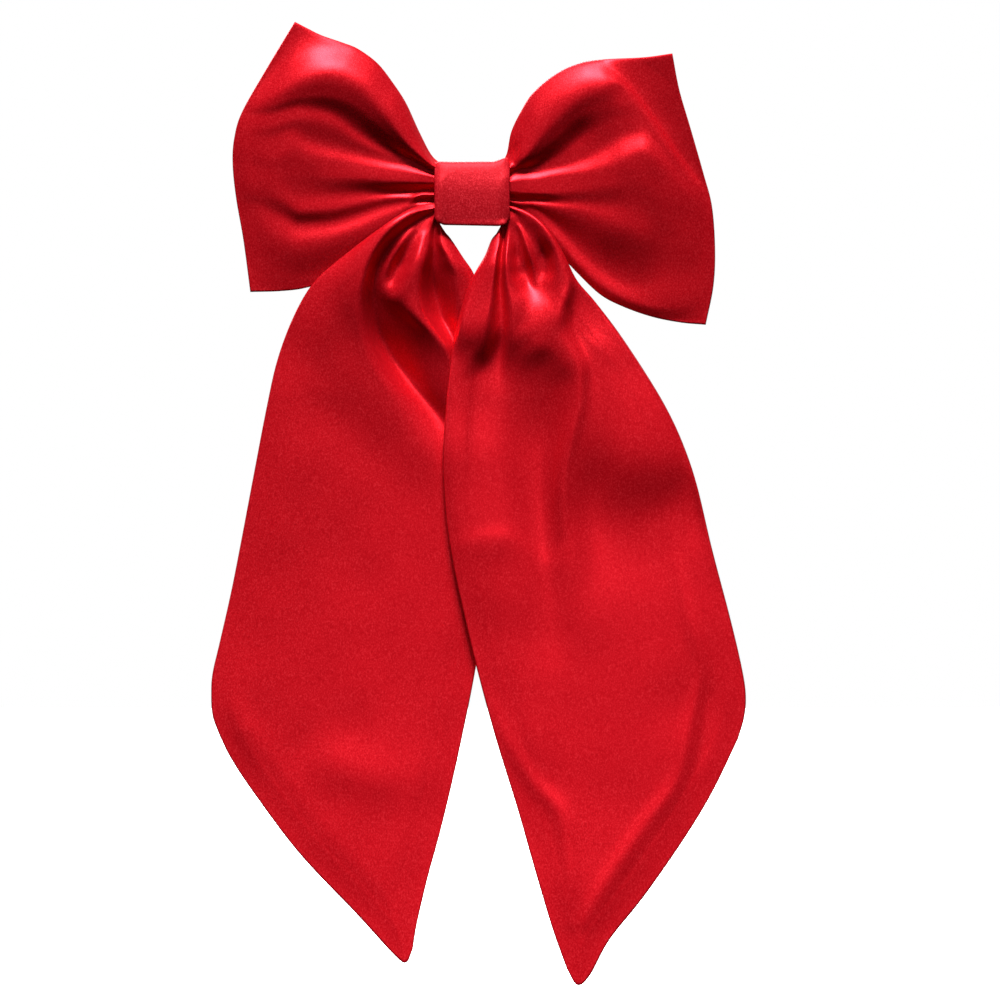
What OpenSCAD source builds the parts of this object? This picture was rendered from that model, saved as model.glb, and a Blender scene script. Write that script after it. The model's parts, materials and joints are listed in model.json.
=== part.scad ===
// Satin hair bow for cheerleading and gymnastics, on a sprung metal barrette.
// Millimetres. X runs across the bow, +Z is up as worn, and the bow's front faces -Y.
// The origin is the middle of the gap that the hair goes through.

/* [Satin] */
// Thickness of one satin panel with its stiffening
panel_thickness = 0.8; // [0.4:0.1:1.2]
// How far the front of a loop puffs out
loop_puff_front = 13; // [6:1:18]
// How far the back of a loop puffs out
loop_puff_back = 7; // [3:1:9]
// How far each side of a tail puffs out
tail_puff = 1.3; // [0.5:0.1:1.6]

/* [Knot] */
// Width of the knot band
knot_width = 26.6; // [20:0.2:32]
// Height of the knot
knot_height = 23.4; // [20:0.2:28]
// Thickness of the folded knot band
band_thickness = 1.8; // [1:0.1:2]
// Turns of the gathering thread
thread_turns = 5; // [3:1:8]

/* [Barrette] */
// Length of the barrette plate
plate_length = 78; // [60:1:90]
// Width of the barrette plate
plate_width = 9; // [8:0.5:10]
// Thickness of the plate's sheet metal
plate_thickness = 0.8; // [0.5:0.1:1]
// Radius that the plate is arched to
arch_radius = 155; // [120:5:200]
// Width of the clasp bar
clasp_width = 5; // [4:0.5:5.5]
// Thickness of the clasp bar
clasp_thickness = 0.9; // [0.6:0.1:1.2]
// Radius of the hinge pin
pin_radius = 0.8; // [0.6:0.05:1]
// Gap round the hinge pin in the clasp's barrel
pin_clearance = 0.06; // [0.02:0.01:0.1]

/* [Hidden] */
$fn = 64;

SATIN = [0.78, 0.04, 0.09];
SATIN_BACK = [0.70, 0.03, 0.08];
KNOT_RED = [0.80, 0.06, 0.11];
THREAD_RED = [0.62, 0.03, 0.07];
FELT_RED = [0.55, 0.04, 0.07];
STEEL = [0.75, 0.76, 0.78];
SPRING_STEEL = [0.60, 0.62, 0.66];

// Depths of the layers, from the hair towards the front.
seam_gap = 0.05;         // half the gap between the two panels of a sewn edge
loop_y = -13.6;          // plane of the loops' seams
plate_inner_y = -6.4;    // hair side of the plate at its middle
pad_thickness = 1;
layer_gap = 0.1;         // between sewn layers
band_back_y = -3.9;      // hair side of the knot band
band_front_y = -22;      // front of the knot band
knot_corner = 4.5;       // rounding of the knot's long corners

// What the band holds together.
half_knot = knot_width / 2;
inner_half_height = knot_height / 2 - band_thickness;
gather_front_y = band_front_y + band_thickness + 3 * layer_gap;
gather_back_y = plate_inner_y - plate_thickness - pad_thickness - 3 * layer_gap;
gather_split_z = -3.2;   // loops above this height in the knot, the tail strip below
gather_corner = 2.5;
gather_inset = 0.4;      // from the band's side edges to the ends of the tail gather
groove_half_width = 2.5; // groove that the gathering thread lies in
groove_depth = 0.8;
thread_radius = 0.35;

// Edges of the satin pieces as [x, z], each a curve with four control points.
loop_start = half_knot + layer_gap;
left_loop_near = [[-loop_start, -3], [-loop_start, 1], [-loop_start, 5], [-loop_start, 9.6]];
left_loop_low = [[-loop_start, -3], [-30, -24], [-52, -35], [-77.5, -35]];
left_loop_high = [[-loop_start, 9.6], [-23, 36], [-36, 54], [-62, 59]];
left_loop_far = [[-77.5, -35], [-85, -2], [-91, 24], [-62, 59]];
right_loop_near = [[loop_start, -3], [loop_start, 1], [loop_start, 5], [loop_start, 9.6]];
right_loop_low = [[loop_start, -3], [25, -25], [48, -45], [81.5, -46.5]];
right_loop_high = [[loop_start, 9.6], [14, 40], [33, 49], [70, 47.5]];
right_loop_far = [[81.5, -46.5], [89, -18], [81, 11], [70, 47.5]];

drape_z = -38;           // where the tails begin to swing, just below the loops
drape_gap = 1;           // between a neck and its hanging tail, so that the tail can swing
neck_low_z = -9.6;
neck_high_z = -3.5;
neck_start_y = -16.4;
neck_bulge = 4.4;        // how far a neck comes forward over the loop
neck_puff = 1.9;         // how far each side of a neck puffs out at the knot
left_drape_y = -19.5;
right_drape_y = -25.2;
neck_top_z = drape_z + drape_gap;
left_neck_near = [[-loop_start, neck_low_z], [-loop_start, -8],
                  [-loop_start, -6], [-loop_start, neck_high_z]];
left_neck_inner = [[-loop_start, neck_low_z], [-13.8, -17], [-3, -27], [4, neck_top_z]];
left_neck_outer = [[-loop_start, neck_high_z], [-26, -6], [-50, -20], [-58, neck_top_z]];
left_neck_far = [[4, neck_top_z], [-16, neck_top_z], [-37, neck_top_z], [-58, neck_top_z]];
right_neck_near = [[loop_start, neck_low_z], [loop_start, -8],
                   [loop_start, -6], [loop_start, neck_high_z]];
right_neck_inner = [[loop_start, neck_low_z], [13.8, -17], [2, -27], [-3.5, neck_top_z]];
right_neck_outer = [[loop_start, neck_high_z], [25, -4], [33, -24], [43.5, neck_top_z]];
right_neck_far = [[-3.5, neck_top_z], [12, neck_top_z], [28, neck_top_z], [43.5, neck_top_z]];
left_tail_near = [[4, drape_z], [-16, drape_z], [-37, drape_z], [-58, drape_z]];
left_tail_inner = [[4, drape_z], [10, -95], [3, -190], [-22.5, -268.5]];
left_tail_outer = [[-58, drape_z], [-76, -70], [-84, -138], [-90.5, -188]];
left_tail_cut = [[-22.5, -268.5], [-44, -252], [-73, -219], [-90.5, -188]];
right_tail_near = [[-3.5, drape_z], [12, drape_z], [28, drape_z], [43.5, drape_z]];
right_tail_inner = [[-3.5, drape_z], [-15, -100], [1, -192], [36.5, -276.5]];
right_tail_outer = [[43.5, drape_z], [74, -70], [90, -130], [95.5, -182]];
right_tail_cut = [[36.5, -276.5], [60, -249], [90, -211], [95.5, -182]];

// Barrette.
half_plate = plate_length / 2;
arch_middle_y = plate_inner_y + arch_radius;
hinge_x = -37;
hinge_y = 1.6;
barrel_radius = 1.7;
barrel_half_width = 3;
ear_thickness = 0.8;
ear_inner_z = 3.2;
ear_radius = 1.65;
ear_foot_y = -2.1;
pin_overhang = 0.3;
sewing_hole_radius = 0.8;
sewing_hole_x = 24;
clasp_y = 2.6;           // hair side of the clasp bar
clasp_head_x = 33.6;
clasp_head_length = 6.2;
clasp_head_half_width = 4.4;
window_x = 34.8;
window_length = 3.8;
window_half_width = 2.9;
tab_length = 3;
tab_half_width = 2;
spring_middle_y = -2.9;  // hair side of the bow spring at its middle
spring_thickness = 0.4;
spring_arch_radius = 600;
spring_half_width = 3;
spring_from_x = -32;
spring_to_x = 30;
rivet_x = -29;
rivet_radius = 0.9;
rivet_head_radius = 1.5;
rivet_head_height = 0.3;
prong_x = 35.3;
prong_length = 2.8;
prong_root_y = -0.9;
prong_root_z = 2.1;
prong_root_radius = 0.55;
groove_clearance = 0.05;
prong_thickness = 0.8;
prong_top_y = 4.9;
hook_y = 3.75;
hook_height = 0.7;
hook_reach = 0.3;
wing_y = 0.3;
wing_thickness = 0.7;
wing_reach = 3.7;
wing_side = 0.7;         // how much wider than its prong a wing is, each side
block_foot_y = -2;
block_half_width = 3.2;

// Shapes of the puffs.
dome_power = 0.6;
gathered_front = 5;
gathered_back = 4.4;
low_gathered_share = 0.5;
low_puff_share = 0.3;
front_peak = 0.8;
back_peak = 0.9;
tail_peak = 0.35;
neck_peak = 0.6;
neck_bulge_fade = 0.3;

// Rounds with few or many facets, the length of a through hole's drill, and how deep an arched
// strip's limits reach.
small_round = 48;
wide_round = 240;
drill_length = 20;
strip_reach = 20;

// Grid steps of the satin pieces.
steps_along = 14;
steps_across = 12;

// Point at share t along a curve with four control points.
function curve(p, t) =
    pow(1 - t, 3) * p[0] + 3 * t * pow(1 - t, 2) * p[1]
    + 3 * t * t * (1 - t) * p[2] + pow(t, 3) * p[3];

// Point inside four edges: u runs from near to far, v from the low edge to the high one.
function inside(near, low, high, far, u, v) =
    (1 - v) * curve(low, u) + v * curve(high, u) + (1 - u) * curve(near, v) + u * curve(far, v)
    - (1 - u) * ((1 - v) * low[0] + v * high[0]) - u * ((1 - v) * low[3] + v * high[3]);

// Share of the full puff at v across a piece: none at both edges.
function dome(v) = pow(max(0, 4 * v * (1 - v)), dome_power);

// Puff of a loop: the gathered thickness at the knot, the full puff part way out, none at the rim.
// The front's low edge stays flatter, where a tail lies over it.
function loop_front_puff(u, v) =
    dome(v) * (gathered_front * pow(1 - u, 2) * (low_gathered_share + (1 - low_gathered_share) * v)
               + loop_puff_front * (low_puff_share + (1 - low_puff_share) * v)
               * sin(180 * pow(u, front_peak)));
function loop_back_puff(u, v) =
    dome(v) * (gathered_back * pow(1 - u, 2) + loop_puff_back * u * sin(180 * pow(u, back_peak)));

// Puff of a tail: most a little below the swing line, none at that line or at the cut end.
function tail_puff_at(u, v) = dome(v) * tail_puff * sin(180 * pow(u, tail_peak));

// Closed solid between two sheets of points, given row by row.
module between(top, bottom) {
    rows = len(top);
    cols = len(top[0]);
    sheet = rows * cols;
    points = concat([for (r = top, p = r) p], [for (r = bottom, p = r) p]);
    quads = concat(
        [for (i = [0:rows - 2], j = [0:cols - 2])
            let (a = i * cols + j) [a, a + 1, a + cols + 1, a + cols]],
        [for (i = [0:rows - 2], j = [0:cols - 2])
            let (a = sheet + i * cols + j) [a, a + cols, a + cols + 1, a + 1]],
        [for (j = [0:cols - 2]) [j, sheet + j, sheet + j + 1, j + 1]],
        [for (j = [0:cols - 2])
            let (a = sheet - cols + j) [a, a + 1, sheet + a + 1, sheet + a]],
        [for (i = [0:rows - 2])
            let (a = i * cols) [a, a + cols, sheet + a + cols, sheet + a]],
        [for (i = [0:rows - 2])
            let (a = i * cols + cols - 1) [a, sheet + a, sheet + a + cols, a + cols]]);
    faces = [for (q = quads) each [[q[0], q[1], q[2]], [q[0], q[2], q[3]]]];
    polyhedron(points = points, faces = faces, convexity = 6);
}

// Rows of points over four edges, at depth y given by a function of u and v through depths.
function sheet_points(near, low, high, far, depths) =
    [for (i = [0:steps_along]) [for (j = [0:steps_across])
        let (p = inside(near, low, high, far, i / steps_along, j / steps_across))
        [p[0], depths[i][j], p[1]]]];

// Depths of a panel's surface: middle plane, side (-1 front, +1 back) and puffs, one per grid point.
function loop_depths(side, lift) =
    [for (i = [0:steps_along]) [for (j = [0:steps_across])
        let (u = i / steps_along, v = j / steps_across)
        loop_y + side * (seam_gap + lift + (side < 0 ? loop_front_puff(u, v) : loop_back_puff(u, v)))]];
function tail_depths(middle, side, lift) =
    [for (i = [0:steps_along]) [for (j = [0:steps_across])
        middle + side * (seam_gap + lift + tail_puff_at(i / steps_along, j / steps_across))]];

// Depth of a neck's middle: it leaves the knot, comes forward over the loop, then drops to its tail.
function neck_middle(drape_y, u) =
    neck_start_y + (drape_y - neck_start_y) * u
    - neck_bulge * sin(180 * pow(u, neck_peak)) * (1 - neck_bulge_fade * u);
function neck_depths(drape_y, side) =
    [for (i = [0:steps_along]) [for (j = [0:steps_across])
        let (u = i / steps_along, v = j / steps_across)
        neck_middle(drape_y, u) + side * (panel_thickness + seam_gap + dome(v) * neck_puff * (1 - u))]];

module loop_panel(near, low, high, far, side, mirrored) {
    outer = sheet_points(near, low, high, far, loop_depths(side, panel_thickness));
    inner = sheet_points(near, low, high, far, loop_depths(side, 0));
    if ((side < 0) != mirrored) between(inner, outer);
    else between(outer, inner);
}

module tail_panel(near, low, high, far, middle, side, mirrored) {
    outer = sheet_points(near, low, high, far, tail_depths(middle, side, panel_thickness));
    inner = sheet_points(near, low, high, far, tail_depths(middle, side, 0));
    if ((side < 0) != mirrored) between(inner, outer);
    else between(outer, inner);
}

module neck(near, low, high, far, drape_y, mirrored) {
    front = sheet_points(near, low, high, far, neck_depths(drape_y, -1));
    back = sheet_points(near, low, high, far, neck_depths(drape_y, 1));
    if (mirrored) between(front, back);
    else between(back, front);
}

// Rectangle with round corners, from its low to its high corner.
module round_rect(low, high, r) {
    translate([low[0] + r, low[1]]) square([high[0] - low[0] - 2 * r, high[1] - low[1]]);
    translate([low[0], low[1] + r]) square([high[0] - low[0], high[1] - low[1] - 2 * r]);
    for (x = [low[0] + r, high[0] - r], y = [low[1] + r, high[1] - r])
        translate([x, y]) circle(r);
}

// Outline in the Y-Z plane, drawn along X.
module along_x(from_x, to_x) {
    translate([from_x, 0, 0]) rotate([90, 0, 90]) linear_extrude(height = to_x - from_x) children();
}

// Sheet metal arched about an axis along Z: inner radius, thickness, X limits and half width.
module arched_strip(middle_y, radius, thickness, from_x, to_x, half_width) {
    intersection() {
        translate([0, middle_y, 0]) difference() {
            cylinder(r = radius + thickness, h = 2 * half_width, center = true, $fn = wide_round);
            cylinder(r = radius, h = 2 * half_width + 1, center = true, $fn = wide_round);
        }
        translate([from_x, middle_y - radius - thickness - 1, -half_width])
            cube([to_x - from_x, strip_reach, 2 * half_width]);
    }
}

module loop_left_front() {
    color(SATIN) loop_panel(left_loop_near, left_loop_low, left_loop_high, left_loop_far, -1, true);
}

module loop_left_back() {
    color(SATIN_BACK) loop_panel(left_loop_near, left_loop_low, left_loop_high, left_loop_far, 1, true);
}

module loop_right_front() {
    color(SATIN) loop_panel(right_loop_near, right_loop_low, right_loop_high, right_loop_far, -1, false);
}

module loop_right_back() {
    color(SATIN_BACK)
        loop_panel(right_loop_near, right_loop_low, right_loop_high, right_loop_far, 1, false);
}

// Middle of the loops, pinched inside the knot, with a groove for its thread.
module loop_gather() {
    low = [gather_front_y, gather_split_z + layer_gap];
    high = [gather_back_y, inner_half_height - layer_gap];
    color(SATIN_BACK) {
        along_x(-half_knot, -groove_half_width) round_rect(low, high, gather_corner);
        along_x(groove_half_width, half_knot) round_rect(low, high, gather_corner);
        along_x(-groove_half_width, groove_half_width)
            round_rect(low + [groove_depth, groove_depth], high - [groove_depth, groove_depth],
                       gather_corner - groove_depth);
    }
}

// Thread wound round the pinched loops, turn by turn.
module gather_thread() {
    low = [gather_front_y + groove_depth, gather_split_z + layer_gap + groove_depth];
    high = [gather_back_y - groove_depth, inner_half_height - layer_gap - groove_depth];
    pitch = 2 * (groove_half_width - thread_radius) / thread_turns;
    lift = 2 * thread_radius;
    color(THREAD_RED) for (k = [0:thread_turns - 1]) {
        x = -groove_half_width + thread_radius + (k + 0.5) * pitch;
        along_x(x - thread_radius, x + thread_radius) difference() {
            round_rect(low - [lift, lift], high + [lift, lift], gather_corner);
            round_rect(low, high, gather_corner - groove_depth);
        }
    }
}

// Middle of the tail strip, folded into pleats inside the knot under the loops.
module tail_gather() {
    low = [gather_front_y, -inner_half_height + layer_gap];
    high = [gather_back_y, gather_split_z - layer_gap];
    color(SATIN_BACK) along_x(-half_knot + gather_inset, half_knot - gather_inset)
        round_rect(low, high, gather_corner);
}

module tail_left_neck() {
    color(SATIN)
        neck(left_neck_near, left_neck_inner, left_neck_outer, left_neck_far, left_drape_y, true);
}

module tail_right_neck() {
    color(SATIN)
        neck(right_neck_near, right_neck_inner, right_neck_outer, right_neck_far, right_drape_y, false);
}

module tail_left_front() {
    color(SATIN)
        tail_panel(left_tail_near, left_tail_inner, left_tail_outer, left_tail_cut,
                   left_drape_y, -1, true);
}

module tail_left_back() {
    color(SATIN_BACK)
        tail_panel(left_tail_near, left_tail_inner, left_tail_outer, left_tail_cut,
                   left_drape_y, 1, true);
}

module tail_right_front() {
    color(SATIN)
        tail_panel(right_tail_near, right_tail_inner, right_tail_outer, right_tail_cut,
                   right_drape_y, -1, false);
}

module tail_right_back() {
    color(SATIN_BACK)
        tail_panel(right_tail_near, right_tail_inner, right_tail_outer, right_tail_cut,
                   right_drape_y, 1, false);
}

// Folded band round the gathers, the pad and the plate.
module knot_band() {
    half_height = knot_height / 2;
    t = band_thickness;
    color(KNOT_RED) along_x(-half_knot, half_knot) difference() {
        round_rect([band_front_y, -half_height], [band_back_y, half_height], knot_corner);
        round_rect([band_front_y + t, -half_height + t], [band_back_y - t, half_height - t],
                   knot_corner - t);
    }
}

// Hand stitches that close the band at its back.
module band_stitches() {
    stitch_count = 6;
    stitch_length = 3;
    stitch_radius = 0.2;
    pitch = knot_width / stitch_count;
    color(THREAD_RED) for (k = [0:stitch_count - 1])
        translate([-half_knot + (k + 0.5) * pitch, band_back_y + stitch_radius, 0])
            cylinder(r = stitch_radius, h = stitch_length, center = true, $fn = small_round);
}

// Felt between the plate and the bow.
module backing_pad() {
    pad_half_length = 30;
    pad_half_width = 6;
    color(FELT_RED) arched_strip(arch_middle_y, arch_radius + plate_thickness + layer_gap, pad_thickness,
                                 -pad_half_length, pad_half_length, pad_half_width);
}

// Arched plate with two hinge ears at one end and the grooved seat of the latch at the other.
module barrette_plate() {
    color(STEEL) difference() {
        union() {
            arched_strip(arch_middle_y, arch_radius, plate_thickness,
                         -half_plate, half_plate, plate_width / 2);
            for (side = [-1, 1]) translate([hinge_x, 0, side * (ear_inner_z + ear_thickness / 2)]) {
                translate([0, hinge_y, 0]) cylinder(r = ear_radius, h = ear_thickness, center = true);
                translate([-ear_radius, ear_foot_y, -ear_thickness / 2])
                    cube([2 * ear_radius, hinge_y - ear_foot_y, ear_thickness]);
            }
            translate([prong_x - groove_clearance, block_foot_y, -block_half_width])
                cube([prong_length + 2 * groove_clearance, prong_root_y - block_foot_y,
                      2 * block_half_width]);
        }
        translate([hinge_x, hinge_y, 0]) cylinder(r = pin_radius, h = 2 * plate_width, center = true);
        for (x = [-sewing_hole_x, sewing_hole_x])
            translate([x, 0, 0]) rotate([90, 0, 0])
                cylinder(r = sewing_hole_radius, h = drill_length, $fn = small_round);
        for (side = [-1, 1]) translate([prong_x - 1, prong_root_y, side * prong_root_z]) rotate([0, 90, 0])
            cylinder(r = prong_root_radius + groove_clearance, h = prong_length + 2, $fn = small_round);
    }
}

module hinge_pin() {
    half_length = ear_inner_z + ear_thickness + pin_overhang;
    color(SPRING_STEEL) translate([hinge_x, hinge_y, 0])
        cylinder(r = pin_radius, h = 2 * half_length, center = true);
}

// Thin strip that presses the hair against the clasp bar.
module bow_spring() {
    middle_y = spring_middle_y + spring_arch_radius;
    color(SPRING_STEEL) difference() {
        arched_strip(middle_y, spring_arch_radius, spring_thickness,
                     spring_from_x, spring_to_x, spring_half_width);
        translate([rivet_x, 0, 0]) rotate([90, 0, 0])
            cylinder(r = rivet_radius, h = drill_length, $fn = small_round);
    }
}

// Rivet that holds the bow spring's hinge end to the plate.
module spring_rivet() {
    spring_y = spring_middle_y + rivet_x * rivet_x / 2 / spring_arch_radius;
    plate_y = plate_inner_y + rivet_x * rivet_x / 2 / arch_radius;
    color(STEEL) translate([rivet_x, 0, 0]) rotate([90, 0, 0]) {
        translate([0, 0, -spring_y - rivet_head_height])
            cylinder(r = rivet_head_radius, h = rivet_head_height, $fn = small_round);
        translate([0, 0, -spring_y]) cylinder(r = rivet_radius, h = spring_y - plate_y, $fn = small_round);
    }
}

// Bar that swings open, with a barrel on the pin and a window that takes the latch.
module clasp_bar() {
    color(STEEL) difference() {
        union() {
            translate([hinge_x, hinge_y, 0])
                cylinder(r = barrel_radius, h = 2 * barrel_half_width, center = true);
            translate([hinge_x, clasp_y, -clasp_width / 2])
                cube([clasp_head_x - hinge_x + 1, clasp_thickness, clasp_width]);
            translate([clasp_head_x, clasp_y, -clasp_head_half_width])
                cube([clasp_head_length, clasp_thickness, 2 * clasp_head_half_width]);
            translate([clasp_head_x + clasp_head_length - 1, clasp_y, -tab_half_width])
                cube([tab_length + 1, clasp_thickness, 2 * tab_half_width]);
            translate([clasp_head_x + clasp_head_length + tab_length, clasp_y, 0]) rotate([-90, 0, 0])
                cylinder(r = tab_half_width, h = clasp_thickness);
        }
        translate([hinge_x, hinge_y, 0])
            cylinder(r = pin_radius + pin_clearance, h = 2 * plate_width, center = true);
        translate([window_x, clasp_y - 1, -window_half_width])
            cube([window_length, clasp_thickness + 2, 2 * window_half_width]);
    }
}

// One squeeze prong: a rolled root, a blade through the clasp's window, a hook and a finger wing.
module prong(side) {
    blade_z = prong_root_z - prong_thickness / 2;
    color(SPRING_STEEL) mirror([0, 0, side < 0 ? 1 : 0]) {
        translate([prong_x, prong_root_y, prong_root_z]) rotate([0, 90, 0])
            cylinder(r = prong_root_radius, h = prong_length, $fn = small_round);
        translate([prong_x, prong_root_y, blade_z])
            cube([prong_length, prong_top_y - prong_root_y, prong_thickness]);
        translate([prong_x, hook_y, blade_z + prong_thickness / 2])
            cube([prong_length, hook_height, prong_thickness / 2 + hook_reach]);
        translate([prong_x - wing_side, wing_y, blade_z + prong_thickness / 2])
            cube([prong_length + 2 * wing_side, wing_thickness, wing_reach]);
    }
}

module latch_prong_upper() { prong(1); }

module latch_prong_lower() { prong(-1); }

loop_left_front();
loop_left_back();
loop_right_front();
loop_right_back();
loop_gather();
gather_thread();
tail_gather();
tail_left_neck();
tail_right_neck();
tail_left_front();
tail_left_back();
tail_right_front();
tail_right_back();
knot_band();
band_stitches();
backing_pad();
barrette_plate();
hinge_pin();
bow_spring();
spring_rivet();
clasp_bar();
latch_prong_upper();
latch_prong_lower();
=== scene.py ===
"""Red satin hair bow with long tails: the visual model round the CAD frame.

Sizes in this script are millimetres unless a name says otherwise. In the fabric functions x runs across
the bow, z is up, and "height" is how far a surface stands towards the front, which is -Y.
"""
import json
import math

import bmesh
import bpy
import numpy as np
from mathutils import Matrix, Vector


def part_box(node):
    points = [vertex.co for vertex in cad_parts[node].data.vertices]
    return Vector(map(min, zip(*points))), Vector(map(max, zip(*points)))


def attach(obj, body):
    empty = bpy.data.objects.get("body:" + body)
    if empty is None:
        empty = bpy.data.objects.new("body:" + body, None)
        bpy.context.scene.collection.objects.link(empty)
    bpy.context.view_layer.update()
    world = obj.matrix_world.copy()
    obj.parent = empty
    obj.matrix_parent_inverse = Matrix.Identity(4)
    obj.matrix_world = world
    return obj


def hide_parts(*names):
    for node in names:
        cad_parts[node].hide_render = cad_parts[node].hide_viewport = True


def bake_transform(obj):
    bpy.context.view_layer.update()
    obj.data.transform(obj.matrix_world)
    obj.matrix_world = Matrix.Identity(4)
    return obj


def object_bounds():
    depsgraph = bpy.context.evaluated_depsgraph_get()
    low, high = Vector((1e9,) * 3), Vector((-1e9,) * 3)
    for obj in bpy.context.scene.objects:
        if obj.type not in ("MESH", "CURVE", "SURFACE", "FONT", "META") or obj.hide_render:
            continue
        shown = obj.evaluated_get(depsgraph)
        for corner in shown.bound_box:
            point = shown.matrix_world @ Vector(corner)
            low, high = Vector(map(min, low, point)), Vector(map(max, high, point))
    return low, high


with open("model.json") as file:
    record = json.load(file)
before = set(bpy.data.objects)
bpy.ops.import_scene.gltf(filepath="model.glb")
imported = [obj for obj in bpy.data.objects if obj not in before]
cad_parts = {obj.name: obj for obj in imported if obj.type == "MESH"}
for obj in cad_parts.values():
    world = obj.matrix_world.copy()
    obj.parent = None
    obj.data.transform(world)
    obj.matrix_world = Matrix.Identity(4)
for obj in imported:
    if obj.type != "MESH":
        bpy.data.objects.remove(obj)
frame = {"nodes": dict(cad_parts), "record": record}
cad_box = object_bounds()

MM = 0.001
scene = bpy.context.scene


# ---------- camera, floor and light

def box_mm(node):
    low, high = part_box(node)
    return np.array(low) / MM, np.array(high) / MM


BAND_LOW, BAND_HIGH = box_mm("knot_band")
LOOP_PLANE = box_mm("loop_left_front")[1][1]
RIGHT_TAIL_PLANE = box_mm("tail_right_front")[1][1]

LENS_MM = 180.0
SENSOR_MM = 36.0
FRAME_WIDTH = 350.0            # what the camera takes in at the right tail's depth
VIEW_CENTRE = (9.8, -107.8)    # x and z that the middle of the picture looks at
CAMERA_DISTANCE = FRAME_WIDTH * LENS_MM / SENSOR_MM
WHITE = (1, 1, 1, 1)


def add_camera():
    data = bpy.data.cameras.new("Camera")
    data.lens = LENS_MM
    data.sensor_width = SENSOR_MM
    data.clip_start = 0.01
    camera = bpy.data.objects.new("Camera", data)
    depth = RIGHT_TAIL_PLANE - CAMERA_DISTANCE
    camera.location = (VIEW_CENTRE[0] * MM, depth * MM, VIEW_CENTRE[1] * MM)
    camera.rotation_euler = (math.radians(90), 0, 0)
    scene.collection.objects.link(camera)
    scene.camera = camera


def add_lamp(name, data, place, target):
    """Lamp object at a place, turned to a target, both in metres."""
    lamp = bpy.data.objects.new(name, data)
    lamp.location = place
    lamp.rotation_euler = (Vector(target) - Vector(place)).to_track_quat("-Z", "Y").to_euler()
    scene.collection.objects.link(lamp)
    return lamp


def add_area_light(name, place, target, size, watts):
    data = bpy.data.lights.new(name, "AREA")
    data.shape = "RECTANGLE"
    data.size, data.size_y = size
    data.energy = watts
    lamp = add_lamp(name, data, place, target)
    lamp.visible_camera = False


def add_spot(name, place, target, watts, angle, softness):
    data = bpy.data.lights.new(name, "SPOT")
    data.energy = watts
    data.spot_size = math.radians(angle)
    data.spot_blend = 1.0
    data.shadow_soft_size = softness
    add_lamp(name, data, place, target)


def set_inputs(node, **settings):
    """Inputs of a shader node by name, with an underscore for each space."""
    for name, value in settings.items():
        node.inputs[name.replace("_", " ")].default_value = value


def add_node(nodes, kind, **settings):
    node = nodes.new(kind)
    set_inputs(node, **settings)
    return node


def map_range(nodes, links, source, into, **settings):
    """Range of a source socket mapped to a new range, and sent into another socket."""
    node = add_node(nodes, "ShaderNodeMapRange", **settings)
    links.new(source, node.inputs["Value"])
    links.new(node.outputs["Result"], into)


def add_world():
    """White backdrop for the camera, and a soft glow from above and behind for the bow."""
    world = bpy.data.worlds.new("World")
    scene.world = world
    world.use_nodes = True
    nodes, links = world.node_tree.nodes, world.node_tree.links
    nodes.clear()
    path = nodes.new("ShaderNodeLightPath")
    backdrop = add_node(nodes, "ShaderNodeBackground", Color=WHITE, Strength=1.0)
    coords = nodes.new("ShaderNodeTexCoord")
    axes = nodes.new("ShaderNodeSeparateXYZ")
    links.new(coords.outputs["Generated"], axes.inputs[0])
    total = nodes.new("ShaderNodeMath")
    map_range(nodes, links, axes.outputs["Z"], total.inputs[0],
              From_Min=-0.5, From_Max=0.9, To_Min=0.005, To_Max=0.16)
    map_range(nodes, links, axes.outputs["Y"], total.inputs[1],
              From_Min=0.1, From_Max=1.0, To_Min=0.0, To_Max=0.5)
    ambient = add_node(nodes, "ShaderNodeBackground", Color=WHITE)
    links.new(total.outputs[0], ambient.inputs["Strength"])
    mix = nodes.new("ShaderNodeMixShader")
    out = nodes.new("ShaderNodeOutputWorld")
    links.new(path.outputs["Is Camera Ray"], mix.inputs[0])
    links.new(ambient.outputs[0], mix.inputs[1])
    links.new(backdrop.outputs[0], mix.inputs[2])
    links.new(mix.outputs[0], out.inputs[0])


FLOOR_HALF = 3.0     # metres
FLOOR_GAP = 0.03     # metres from the tips of the tails down to the floor


def add_floor():
    mesh = bpy.data.meshes.new("Floor")
    half, level = FLOOR_HALF, cad_box[0][2] - FLOOR_GAP
    corners = [(-half, -half, level), (half, -half, level), (half, half, level), (-half, half, level)]
    mesh.from_pydata(corners, [], [(0, 1, 2, 3)])
    floor = bpy.data.objects.new("Floor", mesh)
    scene.collection.objects.link(floor)
    material = bpy.data.materials.new("floor_white")
    material.use_nodes = True
    shader = material.node_tree.nodes["Principled BSDF"]
    set_inputs(shader, Base_Color=(0.95, 0.95, 0.95, 1), Roughness=0.9)
    set_inputs(shader, Emission_Color=WHITE, Emission_Strength=1.0)
    mesh.materials.append(material)
    floor.visible_diffuse = False
    floor.visible_glossy = False


def add_lights():
    """Places and sizes in metres: a high key light, a weak fill, a spot on the tips and a light behind."""
    middle = (0, -0.02, -0.1)
    tips = (0.02, -0.02, -0.345)
    add_area_light("SoftboxTop", (-0.2, -1.75, 3.9), middle, (1.7, 0.9), 560.0)
    add_area_light("SoftboxFront", (0, -1.8, 0.3), middle, (1.2, 1.2), 1.2)
    add_spot("SpotLow", (0.1, -1.5, 1.0), tips, 150.0, 12, 0.12)
    add_area_light("SoftboxBack", (-0.5, 1.7, 1.5), middle, (1.8, 1.4), 110.0)


# ---------- materials

def new_material(name):
    material = bpy.data.materials.new(name)
    material.use_nodes = True
    tree = material.node_tree
    return material, tree.nodes, tree.links, tree.nodes["Principled BSDF"]


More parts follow.
